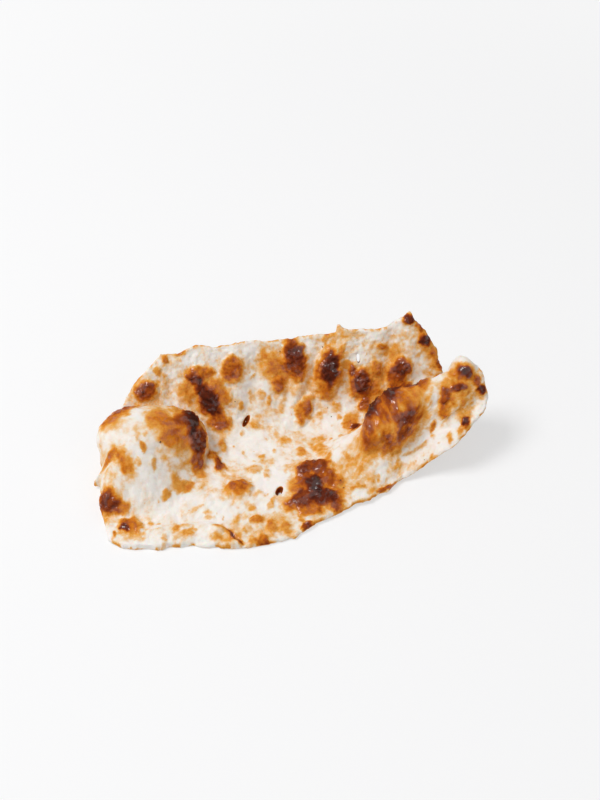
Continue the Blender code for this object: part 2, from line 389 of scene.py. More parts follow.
RIDGE_BLISTERS = (
    # on the mound
    Blister(71, -31, 12, 7, 33, 3.0, 1.10),
    Blister(89, -36, 12, 7, 10, 3.5, 1.12),
    Blister(101, -38, 7, 4, -30, 3.0, 0.95),
    Blister(110, -41, 9, 7, 60, 3.0, 0.78),
    Blister(90, -53, 10, 6, -46, 1.0, 0.76),
    Blister(84, -61, 12, 6, -51, 1.0, 0.68),
    Blister(57, -43, 10, 8, 85, 3.0, 0.66),
    Blister(68, -60, 10, 5, -48, 1.0, 0.56),
    Blister(96, -60, 9, 5, -40, 0.8, 0.60),
    # at the right end
    Blister(133, -62, 9, 3, -24, 2.0, 0.96),
    Blister(121, -62, 8, 4, 78, 2.5, 0.84),
    Blister(118, -74, 8, 4, 90, 2.0, 0.60),
    Blister(141, -56, 6, 3, -20, 1.5, 1.02),
    Blister(149, -62, 5, 4, 87, 1.2, 0.72),
    Blister(151, -71, 6, 4, -67, 2.0, 1.12),
    Blister(132, -97, 6, 4, 63, 2.0, 1.16),
    Blister(126, -101, 5, 3, 61, 0.8, 0.52),
    Blister(108, -81, 6, 3, -80, 1.2, 0.64),
    Blister(117, -100, 5, 3, 82, 0.8, 0.50),
    Blister(100, -102, 3, 2, 32, 0.4, 0.36),
    Blister(70, -80, 7, 3, -38, 0.5, 0.42),
    Blister(34, -69, 7, 2, -19, 0.4, 0.42),
    Blister(46, -70, 6, 3, -25, 0.4, 0.34),
)

BLISTERS = BACK_BLISTERS + RIM_BLISTERS + DOME_BLISTERS + FRONT_BLISTERS + RIDGE_BLISTERS

# Broad areas that the oven only warmed, and a few tan patches of painted shade on facets that face away from the light
WARM_AND_SHADED_AREAS = (
    Patch(80, -50, 36, 24, -30, 0.56),
    Patch(132, -74, 24, 22, -40, 0.38),
    Patch(136, -57, 15, 9, -20, 0.52),
    # painted shade: tan on the facet left of the mound, which faces away from the light
    Patch(45, -54, 22, 16, -29, 0.24),
    Patch(60, -80, 30, 8, -25, 0.16),
    Patch(133, 24, 12, 24, -10, 0.34),
    Patch(78, 26, 26, 24, 80, 0.28),
    Patch(100, 60, 24, 24, 0, 0.14),
    Patch(6, 72, 20, 22, 0, 0.22),
    Patch(-66, 66, 20, 24, 0, 0.18),
    Patch(6, -54, 34, 24, 0, 0.26),
    # painted shade: tan on the dome's right side
    Patch(-100, 34, 24, 26, 20, 0.24),
    Patch(-46, -78, 26, 16, 0, 0.20),
    # painted shade: tan inside the flap of the front lip
    Patch(-82, -74, 20, 10, -35, 0.34),
    # painted shade: tan on the rolled front-left lip where it turns down towards the front
    Patch(-150, -40, 22, 8, -25, 0.20),
    Patch(70, 82, 14, 8, -20, 0.20),
    Patch(-146, 14, 14, 18, 0, 0.16),
)

# Slots baked right through the sheet; foot is the share of their size left at the underside
HOLES = (
    Hole(-31, 33, 6.5, 2.5, 46, 0.06),
    Hole(-28, -48, 5.0, 3.2, 44, 0.3),
    Hole(74, 56, 4.2, 1.5, 86, 0.9),
)

HOLE_REACH = 20.0          # each hole's edges lie closer together than this, in cells
HOLE_WALL_SHADE = 1.0            # dark brown bake on the walls of a hole: painted shade inside the slot

# Lips where one layer of dough laps over the next: the raised side lies to the right
LIPS = (
    Lip((-90, -59), (-79, -67), 4.5, 26.0, 0.60),
    Lip((-80, -67), (-73, -86), 4.5, 26.0, 1.05),
    Lip((-68, 14), (-63, -8), 3.0, 12.0, 0.80),
    Lip((-108, 44), (-92, 52), 1.5, 8.0, 0.60),
    Lip((78, -76), (102, -90), -1.5, 9.0, 0.36),
)

# Thin flakes that stick out of the rim at the left
RIM_FLAKES = (Flake(-166, 23, 6.0, 1.6), Flake(-160, 34, 2.0, 1.4))
FLAKE_SEARCH = 20.0        # how far from its place a flake may pull the rim

# Where the front lip is fatter than the rest of the sheet
FAT_LIP = Swelling(-150, -42, 26, 16, 0, 4.0)

# Crumbs of char stuck to the crust, as (s, t)
SPECKS = (
    (47, 77), (54, 72), (41, 24), (41, 15), (-36, 53), (23, -57), (23, -64), (95, -99),
    (37, -70), (-115, 19), (11, 85), (130, -7), (23, 92),
)
SPECK_SIZE = (0.5, 1.1)    # least and greatest radius

# Freckles: the part of the flat sheet they are scattered over, their least size and how much
# larger the largest are, how stretched, how turned and how dark they are
FRECKLE_SPAN = ((-172, 158), (-108, 112))
FRECKLE_SIZE = (0.9, 2.6)
FRECKLE_STRETCH = (1.0, 2.2)
FRECKLE_TURN = (40, 110)
FRECKLE_BAKE = (0.14, 0.40)

# Unevenness, each as a sum of waves of noise: strength, size of the features and seed
RIM_WAVES_ALONG = (Wave(2.0, 26.0, 11), Wave(0.8, 7.0, 12))
RIM_WAVES_ACROSS = (Wave(2.0, 26.0, 13), Wave(0.8, 7.0, 14))
RIM_WAVE_REACH = 9.0       # how far in from the rim its waves fade
MARK_WAVES_ALONG = (Wave(1.6, 13.0, 1), Wave(0.7, 4.5, 2))
MARK_WAVES_ACROSS = (Wave(1.6, 13.0, 3), Wave(0.7, 4.5, 4))
OUTLINE_WAVES = (Wave(0.16, 8.0, 31), Wave(0.07, 3.5, 32))
CRUST_WAVES = (Wave(1.0, 17.0, 5), Wave(0.55, 7.5, 7), Wave(0.25, 3.6, 6))
UNDERSIDE_WAVES = (Wave(0.35, 22.0, 15),)
BLUSH_WAVES = (Wave(0.14, 26.0, 33), Wave(0.10, 9.0, 34))
WRINKLES = (Wave(1.4, 6.5, 8), Wave(0.4, 3.0, 9))   # strength as a share of the wrinkle depth

BLUSH = 0.10               # bake of the palest crust
HALO = 0.24                # share of a blister's bake that its surroundings take on
RUST = 0.45                # bake of the browned stretches of the rim
RUST_REACH = 1.4           # how far in from the rim they fade

# ---- The stage, in millimetres ----

CAMERA_FOCUS = (21.0, 19.0, 37.0)
KEY_PLACE = (-1500.0, 500.0, 2600.0)
KEY_SIZE = 1200.0
FILL_PLACE = (1400.0, -2400.0, 1800.0)
FILL_SIZE = 2000.0
FLOOR_GLOW = 0.5           # how much of the floor's look is plain white rather than lit
FLOOR_NEAR, FLOOR_FAR = 0.4, 1.6   # metres over which the rest of it turns plain white

# ---- The crust's material ----

MOTTLE_SCALE = 110.0       # features per metre of the three sizes of grain
PORE_SCALE = 300.0
FINE_SCALE = 900.0
BAKE_TO_RAMP = 0.77        # place on the colour ramp of a bake of 1
RAMP_STOPS = (0.05, 0.12, 0.21, 0.32, 0.47, 0.62, 0.80, 0.98)   # from pale to char
GRAIN_DEPTH = 0.0012       # metres that the grain stands out


# ---- Sizes and colours a user may change ----

def colour(name, description, default):
    """A linear colour setting."""
    return FloatVectorProperty(
        name=name, description=description, default=default,
        size=3, min=0.0, max=1.0, subtype="COLOR")


class BreadSettings(bpy.types.PropertyGroup):
    """Sizes of the bread and its relief, and the draw of its small marks."""

    thickness: FloatProperty(
        name="Thickness", description="Thickness of the dough between its blisters",
        default=0.005, min=0.003, max=0.008, unit="LENGTH", subtype="DISTANCE")
    dome_height: FloatProperty(
        name="Dome Height", description="Height of the puffed dome above the sheet",
        default=0.0405, min=0.0, max=0.06, unit="LENGTH", subtype="DISTANCE")
    relief: FloatProperty(
        name="Relief", description="Share of their full height that the blisters reach",
        default=1.0, min=0.0, max=1.5, subtype="FACTOR")
    wrinkle: FloatProperty(
        name="Wrinkle Depth", description="Depth of the wrinkles on the darkest blisters",
        default=0.0014, min=0.0, max=0.003, unit="LENGTH", subtype="DISTANCE")
    freckles: IntProperty(
        name="Freckles", description="Number of small scattered scorch marks",
        default=330, min=0, max=1000)
    seed: IntProperty(
        name="Seed", description="Seed of the scattered marks", default=7, min=0)


class CrustColours(bpy.types.PropertyGroup):
    """Linear colours of the crust, from pale to charred."""

    pale: colour("Pale Crust", "Crust that the oven left pale", (0.90, 0.86, 0.81))
    cream: colour("Cream Crust", "Crust that has only dried", (0.87, 0.785, 0.685))
    tan: colour("Tan Crust", "Crust just turning colour", (0.83, 0.56, 0.31))
    ochre: colour("Ochre Crust", "Golden crust", (0.78, 0.36, 0.065))
    orange: colour("Orange Crust", "Golden brown, buttered crust", (0.62, 0.185, 0.010))
    brown: colour("Brown Crust", "Well browned crust", (0.36, 0.072, 0.006))
    dark: colour("Dark Crust", "Crust about to char", (0.15, 0.021, 0.004))
    char: colour("Char", "Charred crust", (0.045, 0.009, 0.005))


class StageSettings(bpy.types.PropertyGroup):
    """Floor, lamps and camera."""

    floor_size: FloatProperty(
        name="Floor Size", description="Width of the floor",
        default=6.0, min=1.0, unit="LENGTH", subtype="DISTANCE")
    floor_colour: colour("Floor", "Colour of the floor", (0.90, 0.90, 0.91))
    key_power: FloatProperty(
        name="Key Lamp", description="Power of the large lamp above and behind",
        default=58.0, min=0.0, unit="POWER")
    fill_power: FloatProperty(
        name="Fill Lamp", description="Power of the soft lamp in front",
        default=9.0, min=0.0, unit="POWER")
    sky: FloatProperty(
        name="Sky", description="Strength of the even light from all round",
        default=0.42, min=0.0, max=2.0)
    azimuth: FloatProperty(
        name="Azimuth", description="Direction the camera stands in, from the front",
        default=math.radians(-20.0), unit="ROTATION", subtype="ANGLE")
    elevation: FloatProperty(
        name="Elevation", description="Height of the camera above the horizon",
        default=math.radians(48.0), unit="ROTATION", subtype="ANGLE")
    distance: FloatProperty(
        name="Distance", description="Distance of the camera from the point it looks at",
        default=0.944, min=0.2, unit="LENGTH", subtype="DISTANCE")
    lens: FloatProperty(
        name="Lens", description="Focal length", default=50.0, min=20.0, max=200.0, unit="CAMERA")


# ---- Shape of the sheet ----

def ease(x):
    """Go smoothly from 0 to 1 as x goes from 0 to 1."""
    x = np.clip(x, 0.0, 1.0)
    return x * x * (3.0 - 2.0 * x)


def cubic(before, start, end, after, x):
    """Catmull-Rom curve from start to end as x goes from 0 to 1."""
    return 0.5 * (
        2.0 * start
        + (end - before) * x
        + (2.0 * before - 5.0 * start + 4.0 * end - after) * x ** 2
        + (3.0 * start - before - 3.0 * end + after) * x ** 3
    )


def along(stations, s):
    """Value at s of a measure given at the stations."""
    values = np.asarray(stations, float)
    last = len(values) - 1
    place = np.clip((s - FIRST_STATION) / STATION_STEP, 0.0, last - 1e-6)
    index = np.floor(place).astype(int)
    near = [values[np.clip(index + shift, 0, last)] for shift in (-1, 0, 1, 2)]
    return cubic(*near, place - index)


def side_curve(points, share):
    """Point at a share of the length of a smooth curve through one side's points."""
    knots = np.array(points, float)
    knots = np.vstack([2.0 * knots[0] - knots[1], knots, 2.0 * knots[-1] - knots[-2]])
    x = np.linspace(0.0, 1.0, 40, endpoint=False)[:, None]
    pieces = [cubic(*knots[first:first + 4], x) for first in range(len(knots) - 3)]
    curve = np.vstack(pieces + [knots[-2:-1]])
    steps = np.linalg.norm(np.diff(curve, axis=0), axis=1)
    reached = np.concatenate([[0.0], np.cumsum(steps)])
    reached /= reached[-1]
    return np.stack([np.interp(share, reached, curve[:, axis]) for axis in (0, 1)], axis=-1)


def flat_sheet(a, b):
    """Flat place (s, t) of a point at shares a of the length and b of the width."""
    front, back = side_curve(FRONT_SIDE, a), side_curve(BACK_SIDE, a)
    left, right = side_curve(LEFT_SIDE, b), side_curve(RIGHT_SIDE, b)
    front_left, front_right = np.array(FRONT_SIDE[0]), np.array(FRONT_SIDE[-1])
    back_left, back_right = np.array(BACK_SIDE[0]), np.array(BACK_SIDE[-1])
    a, b = a[..., None], b[..., None]
    sides = (1 - b) * front + b * back + (1 - a) * left + a * right
    corners = (1 - b) * ((1 - a) * front_left + a * front_right)
    corners = corners + b * ((1 - a) * back_left + a * back_right)
    return sides - corners


def slope(s, t):
    """Slope across the draped sheet at (s, t), in radians, positive towards the back."""
    ahead = -t
    wall = along(WALL_ANGLE, s) * ease(t / (2.0 * along(WALL_FOOT, s)))
    rise = along(RISE_ANGLE, s) * ease(ahead / RISE_BEND)
    past_ridge = ease((ahead - along(RISE_LENGTH, s)) / RIDGE_BEND + 0.5)
    turn = (along(RISE_ANGLE, s) + along(FALL_ANGLE, s)) * past_ridge
    shelf = SHELF_SHARE * along(FALL_ANGLE, s) * ease((ahead - along(SHELF_START, s)) / SHELF_BEND)
    return np.radians(np.where(t > 0.0, wall, turn - rise - shelf))


def drape(s, t):
    """Points of the bent sheet, followed in small steps from the line of the sag."""
    y = along(SAG_PLACE, s)
    z = along(SAG_HEIGHT, s)
    step = t / BEND_STEPS
    for count in range(BEND_STEPS):
        angle = slope(s, step * (count + 0.5))
        y = y + np.cos(angle) * step
        z = z + np.sin(angle) * step
    return np.stack([s, y, z], axis=-1)


def dome(s, t, height):
    """Shift of the top face by the dome, as (along, across, up)."""
    x = (s - DOME_CENTRE[0]) / DOME_REACH[0]
    y = (t - DOME_CENTRE[1]) / DOME_REACH[1]
    radius = (np.abs(x) ** DOME_SQUARENESS + np.abs(y) ** DOME_SQUARENESS) ** (1 / DOME_SQUARENESS)
    steep = ease(0.5 + 0.75 * np.cos(np.arctan2(y, x) - math.radians(DOME_STEEP_SIDE)))
    inside = np.clip(radius, 1e-6, 1.0)
    arc = math.radians(DOME_ARC)
    cap = (np.cos(inside * arc) - math.cos(arc)) / (1.0 - math.cos(arc))
    apron = np.cos(np.clip(radius / DOME_APRON, 0.0, 1.0) * math.pi / 2.0) ** 1.7
    bulge = steep * (np.sin(inside * arc) / math.sin(arc) / inside - 1.0) * (radius < 1.0)
    up = height * (steep * cap + (1.0 - steep) * apron)
    return np.stack([bulge * x * DOME_REACH[0], bulge * y * DOME_REACH[1], up], axis=-1)


def facing(points):
    """Unit normals of a grid of points."""
    normals = np.cross(np.gradient(points, axis=0), np.gradient(points, axis=1))
    return normals / np.maximum(np.linalg.norm(normals, axis=-1, keepdims=True), 1e-9)


def rounding(distance, reach):
    """Quarter-round from 0 at the rim to 1 at reach from it."""
    inward = np.clip(distance / reach, 0.0, 1.0)
    return np.sqrt(1.0 - (1.0 - inward) ** 2)


def row_shares(count, size):
    """Shares of a side at which the rows lie: close by the rim, and even in between."""
    rim = np.array(RIM_ROWS)
    middle = np.linspace(rim[-1], size - rim[-1], count + 3 - 2 * len(rim))[1:-1]
    return np.concatenate([rim, middle, size - rim[::-1]]) / size


# ---- Relief and bake ----

def cloud(s, t, size, seed, octaves=3):
    """Smooth noise of about -1 to 1 on the flat sheet, with features of the given size."""
    flat = zip(np.ravel(s) / size, np.ravel(t) / size)
    values = [noise.fractal((x, y, seed * 7.31), 0.6, 2.0, octaves) for x, y in flat]
    return np.array(values).reshape(np.shape(s))


def waves(s, t, parts):
    """Sum of several sizes of smooth noise."""
    return sum(part.strength * cloud(s, t, part.size, part.seed) for part in parts)


def crinkle(s, t, size, seed):
    """Sharp-edged wrinkles of 0 to 1 on the flat sheet, with cells of the given size."""
    return 1.0 - np.clip(np.abs(cloud(s, t, size, seed, octaves=2)) * 2.4, 0.0, 1.0)


def radius_in(mark, s, t):
    """How far (s, t) lies from a mark's centre, 1 on its outline."""
    cos, sin = math.cos(math.radians(mark.turn)), math.sin(math.radians(mark.turn))
    x = ((s - mark.s) * cos + (t - mark.t) * sin) / mark.long
    y = ((t - mark.t) * cos - (s - mark.s) * sin) / mark.wide
    return np.hypot(x, y)


def swelling_height(s, t):
    """Height of the large smooth swellings."""
    height = np.zeros_like(s)
    for mark in SWELLINGS:
        height += mark.height * np.clip(1.0 - radius_in(mark, s, t) ** 2, 0.0, 1.0) ** 1.2
    return height


def fold_height(s, t):
    """Height of the soft folds down the back wall."""
    height = np.zeros_like(s)
    for mark in WALL_FOLDS:
        height += mark.height * np.exp(-1.8 * radius_in(mark, s, t) ** 2)
    return height


def blister_height(s, t, marks):
    """Height of steep-sided blisters, joined smoothly where they overlap."""
    total = np.zeros_like(s)
    for mark in marks:
        cap = np.clip(1.0 - radius_in(mark, s, t) ** 2, 0.0, 1.0) ** 0.62
        total += (mark.height * cap) ** 3
    return np.cbrt(total)


def blister_bake(s, t, marks, edge=0.75):
    """How far the blisters are baked: most at their tops, fading softly down their sides."""
    ragged = waves(s, t, OUTLINE_WAVES)
    total = np.zeros_like(s)
    for mark in marks:
        shade = 1.0 - ease((radius_in(mark, s, t) + ragged - 0.5) / edge)
        total += (mark.bake * shade) ** 3
    return np.cbrt(total)


def warm_and_shade_bake(s, t):
    """The low, broad browning between the blisters, and the tan painted shade of a few facets."""
    bake = np.zeros_like(s)
    for mark in WARM_AND_SHADED_AREAS:
        bake = np.maximum(bake, mark.bake * ease((1.2 - radius_in(mark, s, t)) / 0.9))
    return bake


def lip_relief(s, t):
    """Height and bake of the lips, where one layer of dough laps over the next."""
    height, bake = np.zeros_like(s), np.zeros_like(s)
    for lip in LIPS:
        run = np.subtract(lip.end, lip.start)
        length = np.hypot(*run)
        ahead = ((s - lip.start[0]) * run[0] + (t - lip.start[1]) * run[1]) / length
        aside = ((t - lip.start[1]) * run[0] - (s - lip.start[0]) * run[1]) / length
        within = ease((ahead + 4.0) / 8.0) * ease((length - ahead + 4.0) / 8.0)
        step = ease((0.9 - aside) / 1.8) * ease((aside + lip.reach) / lip.reach)
        height = np.where(np.abs(lip.height * step * within) > np.abs(height),
                          lip.height * step * within, height)
        bake = np.maximum(bake, lip.bake * within * np.exp(-(aside / 2.4) ** 2))
    return height, bake


def scattered_freckles(count, seed):
    """Small scorch marks scattered over the sheet, more of them where the broad browning and the painted shade patches
    lie.
    """
    rng = np.random.default_rng(seed)
    marks = []
    while len(marks) < count:
        s, t = (rng.uniform(*span) for span in FRECKLE_SPAN)
        crowd = 0.35 + 0.5 * noise.noise((s / 38.0, t / 38.0, 3.7)) + float(warm_and_shade_bake(s, t))
        if rng.random() > crowd:
            continue
        size = FRECKLE_SIZE[0] + FRECKLE_SIZE[1] * rng.random() ** 2.5
        stretch = rng.uniform(*FRECKLE_STRETCH)
        bake = rng.uniform(*FRECKLE_BAKE)
        turn = rng.uniform(*FRECKLE_TURN)
        marks.append(Blister(s, t, size * stretch, size, turn, 0.25 * size, bake))
    return marks


class Sheet:
    """The bread's grid: flat places, points of the top and underside, and what colours them."""

    def __init__(self, bread):
        a, b = np.meshgrid(row_shares(GRID_LONG, LONG_SIDE), row_shares(GRID_WIDE, WIDE_SIDE),
                           indexing="ij")
        flat = flat_sheet(a, b)
        self.to_rim = np.minimum(np.minimum(a, 1 - a) * LONG_SIDE,
                                 np.minimum(b, 1 - b) * WIDE_SIDE)
        self.s, self.t = self.roughen_rim(flat[..., 0], flat[..., 1])
        self.holed, self.rings = self.fit_holes()
        self.shape(bread)

    def roughen_rim(self, s, t):
        """Give the rim the uneven line of hand-stretched dough."""
        near = np.exp(-self.to_rim / RIM_WAVE_REACH)
        shift_s = waves(s, t, RIM_WAVES_ALONG)
        shift_t = waves(s, t, RIM_WAVES_ACROSS)
        for flake in RIM_FLAKES:
            beside = np.exp(-((t - flake.t) / flake.width) ** 2)
            beside = beside * (np.abs(s - flake.s) < FLAKE_SEARCH)
            shift_s = shift_s - beside * flake.length * np.exp(-self.to_rim / 2.0)
        return s + near * shift_s, t + near * shift_t

    def fit_holes(self):
        """Find the cells inside each hole, and move the points round them onto its outline."""
        holed = np.zeros((GRID_LONG, GRID_WIDE), bool)
        rings = []
        for hole in HOLES:
            centre_s = (self.s[:-1, :-1] + self.s[1:, 1:]) / 2.0
            centre_t = (self.t[:-1, :-1] + self.t[1:, 1:]) / 2.0
            inside = radius_in(hole, centre_s, centre_t) < 1.0
            touched = np.zeros(self.s.shape, int)
            for i in (0, 1):
                for j in (0, 1):
                    touched[i:GRID_LONG + i, j:GRID_WIDE + j] += inside
            ring = (touched > 0) & (touched < 4)
            radius = radius_in(hole, self.s, self.t)
            self.s = np.where(ring, hole.s + (self.s - hole.s) / radius, self.s)
            self.t = np.where(ring, hole.t + (self.t - hole.t) / radius, self.t)
            holed |= inside
            rings.append((ring, hole.foot))
        return holed, rings

    def shape(self, bread):
        """Work out the points of both faces and the values that colour them."""
        s, t = self.s, self.t
        warp_s = s + waves(s, t, MARK_WAVES_ALONG)
        warp_t = t + waves(s, t, MARK_WAVES_ACROSS)
        freckles = scattered_freckles(bread.freckles, bread.seed)
        lip_height, lip_bake = lip_relief(warp_s, warp_t)
        bake = self.top_bake_and_shade(warp_s, warp_t, freckles, lip_bake)
        relief = self.top_relief(warp_s, warp_t, freckles, lip_height, bake, bread)

        fat = FAT_LIP.height * np.exp(-radius_in(FAT_LIP, s, t) ** 2)
        thick = bread.thickness / MM + fat
        thin_rim = np.maximum(rounding(self.to_rim, 0.5 * thick + 0.8), RIM_SHARE)
        half = (0.5 * thick * thin_rim)[..., None]
        puff = rounding(self.to_rim, PUFF_ROUNDING)[..., None]
        edge = rounding(self.to_rim, 4.0)[..., None]

        sheet = drape(s, t)
        outward = facing(sheet)
        low = sheet - outward * (half - waves(s, t, UNDERSIDE_WAVES)[..., None] * edge)
        puffed = sheet + dome(s, t, bread.dome_height / MM) * puff
        top = puffed + outward * half
        top = top + facing(puffed) * relief[..., None] * edge
        for ring, foot in self.rings:
            centre = low[ring].mean(axis=0)
            low[ring] = centre + (low[ring] - centre) * foot
        low[..., 2] = np.maximum(low[..., 2], -SHEET_PLACE[2])
        self.top = (top + SHEET_PLACE) * MM
        self.low = (low + SHEET_PLACE) * MM
        # the top's bake includes the tan painted shade of a few facets
        self.bake = bake
        self.low_bake = self.underside_bake()

    def top_bake_and_shade(self, warp_s, warp_t, freckles, lip_bake):
        """How far the top face is baked, with the tan painted shade of a few facets added; the marks lie at the warped
        places.
        """
        s, t = self.s, self.t
        blush_and_shade = BLUSH + waves(s, t, BLUSH_WAVES)
        # the broad patches include tan painted shade on a few facets
        blush_and_shade = blush_and_shade + warm_and_shade_bake(warp_s, warp_t) * (0.8 + 0.5 * cloud(s, t, 8.0, 35))
        blush_and_shade = blush_and_shade + HALO * blister_bake(warp_s, warp_t, BLISTERS, edge=1.7)
        rusty = ease((cloud(s, t, 12.0, 37) + 0.1) / 0.5)
        blush_and_shade = blush_and_shade + RUST * rusty * np.exp(-self.to_rim / RUST_REACH)
        marks = blister_bake(warp_s, warp_t, BLISTERS)
        small = blister_bake(warp_s, warp_t, freckles)
        bake = np.cbrt(np.maximum(blush_and_shade, 0.0) ** 3 + marks ** 3 + small ** 3 + lip_bake ** 3)
        return bake + 0.14 * cloud(s, t, 4.0, 36) * ease(bake / 0.3) * ease((1.5 - bake) / 0.8)

    def top_relief(self, warp_s, warp_t, freckles, lip_height, bake, bread):
        """Height of the top face's relief, with wrinkles where it is baked darkest."""
        s, t = self.s, self.t
        relief = blister_height(warp_s, warp_t, BLISTERS) + lip_height
        relief = relief + 0.5 * blister_height(s, t, freckles) + waves(s, t, CRUST_WAVES)
        tight = ease((bake - 0.5) / 0.5)
        for part in WRINKLES:
            depth = part.strength * bread.wrinkle / MM
            relief = relief - tight * depth * (crinkle(s, t, part.size, part.seed) - 0.4)
        return relief * bread.relief + swelling_height(s, t) + fold_height(s, t)

    def underside_bake(self):
        """Scorching of the underside: flat brown spots where it touched the oven wall."""
        spots = ease((cloud(self.s, self.t, 15.0, 21) - 0.05) / 0.5)
        pores = ease((cloud(self.s, self.t, 5.0, 22) - 0.1) / 0.5)
        return 0.14 + 0.42 * spots * (0.4 + 0.6 * pores) + 0.20 * pores

    def nearest(self, s, t):
        """Point and normal of the top face nearest to a flat place."""
        index = np.unravel_index(np.argmin((self.s - s) ** 2 + (self.t - t) ** 2), self.s.shape)
        normal = facing(self.top)[index]
        return Vector(self.top[index]), Vector(normal)


# ---- Materials ----

class Wire:
    """A shader socket that can be used in Python expressions."""

    def __init__(self, tree, socket=None):
        self.tree = tree
        self.socket = socket

    def node(self, kind, settings=None, inputs=None, output=0):
        """Add a node, with its settings first and then its inputs, and return one output."""
        made = self.tree.nodes.new(kind)
        for name, value in (settings or {}).items():
            if name == "stops":
                set_stops(made.color_ramp, value)
            else:
                setattr(made, name, value)
        for name, value in (inputs or {}).items():
            if isinstance(value, Wire):
                self.tree.links.new(value.socket, made.inputs[name])
            else:
                made.inputs[name].default_value = value
        return Wire(self.tree, made.outputs[output])

    def math(self, operation, *values):
        """A Math node on plain values."""
        inputs = dict(enumerate(values))
        return self.node("ShaderNodeMath", {"operation": operation}, inputs)

    def __add__(self, other):
        return self.math("ADD", self, other)

    def __radd__(self, other):
        return self.math("ADD", other, self)

    def __sub__(self, other):
        return self.math("SUBTRACT", self, other)

    def __rsub__(self, other):
        return self.math("SUBTRACT", other, self)

    def __mul__(self, other):
        return self.math("MULTIPLY", self, other)

    def __rmul__(self, other):
        return self.math("MULTIPLY", other, self)

    def between(self, low, high):
        """Smoothly 0 below low and 1 above high."""
        settings = {"interpolation_type": "SMOOTHSTEP"}
        return self.node("ShaderNodeMapRange", settings,
                         {"Value": self, "From Min": low, "From Max": high})

    def mix(self, start, end):
        """Colour that goes from start to end as this value goes from 0 to 1."""
        settings = {"data_type": "RGBA", "clamp_factor": True}
        return self.node("ShaderNodeMix", settings, {0: self, 6: start, 7: end}, output=2)

    def attribute(self, name):
        """Value stored on the piece's points."""
        return self.node("ShaderNodeAttribute", {"attribute_name": name}, output=2)

    def grain(self, place, scale, detail=2.0, roughness=0.5, warp=0.0):
        """Noise of about 0.3 to 0.7 at a scale given in features per metre."""
        inputs = {"Vector": place, "Scale": scale, "Detail": detail,
                  "Roughness": roughness, "Distortion": warp}
        return self.node("ShaderNodeTexNoise", None, inputs)


def set_stops(ramp, stops):
    """Give a colour ramp its stops, as (place, colour)."""
    while len(ramp.elements) > 1:
        ramp.elements.remove(ramp.elements[-1])
    ramp.elements[0].position = stops[0][0]
    ramp.elements[0].color = (*stops[0][1], 1.0)
    for place, colour in stops[1:]:
        ramp.elements.new(place).color = (*colour, 1.0)


def new_material(name):
    """An empty Principled material, its shader and a wire to start expressions from."""
    material = bpy.data.materials.new(name)
    material.use_nodes = True
    tree = material.node_tree
    return material, tree.nodes["Principled BSDF"], Wire(tree)


def drive(shader, name, wire):
    """Link a wire to one of a shader's inputs."""
    wire.tree.links.new(wire.socket, shader.inputs[name])


def crust_material(colours):
    """Baked crust: cream and floury where pale, golden, brown and black where it blistered."""
    material, shader, wire = new_material("naan crust")
    place = wire.node("ShaderNodeTexCoord", output=3)
    mottle = wire.grain(place, MOTTLE_SCALE, detail=3.0, roughness=0.6, warp=0.6)
    pores = wire.grain(place, PORE_SCALE, detail=3.0, roughness=0.6)
    fine = wire.grain(place, FINE_SCALE)

    # the stored bake also holds painted shade: tan patches on a few facets and the dark walls of the holes
    stored = wire.attribute("bake")
    ragged = (mottle - 0.5) * 0.34 + (pores - 0.5) * 0.26 + (fine - 0.5) * 0.12
    bake = stored + ragged * (stored.between(0.0, 0.45) * 0.7 + 0.3)
    shades = (colours.pale, colours.cream, colours.tan, colours.ochre,
              colours.orange, colours.brown, colours.dark, colours.char)
    ramp = list(zip(RAMP_STOPS, shades))
    crust = wire.node("ShaderNodeValToRGB", {"stops": ramp}, {"Fac": bake * BAKE_TO_RAMP})
    drive(shader, "Base Color", crust)

    butter = bake.between(0.4, 0.8)
    wet = mottle.between(0.47, 0.56)
    drive(shader, "Roughness", 0.8 - butter * (wet * 0.3 + 0.15) + (pores - 0.5) * 0.2)
    drive(shader, "Coat Weight", butter * wet * 0.8)
    shader.inputs["Coat Roughness"].default_value = 0.1
    shader.inputs["Specular IOR Level"].default_value = 0.1
    shader.inputs["Subsurface Weight"].default_value = 0.12
    shader.inputs["Subsurface Scale"].default_value = 0.002
    height = pores * 0.5 + fine * 0.3 + mottle * 0.4
    bump = wire.node("ShaderNodeBump", None,
                     {"Strength": 0.6, "Distance": GRAIN_DEPTH, "Height": height})
    drive(shader, "Normal", bump)
    return material


def char_material(colours):
    """Dry black char of the specks."""
    material, shader, wire = new_material("burnt specks")
    place = wire.node("ShaderNodeTexCoord", output=3)
    grit = wire.grain(place, FINE_SCALE).between(0.35, 0.65)
    drive(shader, "Base Color", grit.mix((*colours.char, 1.0), (*colours.dark, 1.0)))
    shader.inputs["Roughness"].default_value = 0.7
    return material


def seen_directly(wire):
    """1 for what the camera sees directly, in a reflection or through glass, and 0 for light."""
    camera, glossy, clear = (wire.node("ShaderNodeLightPath", output=index) for index in (0, 3, 6))
    return camera.math("MAXIMUM", camera, glossy.math("MAXIMUM", glossy, clear))


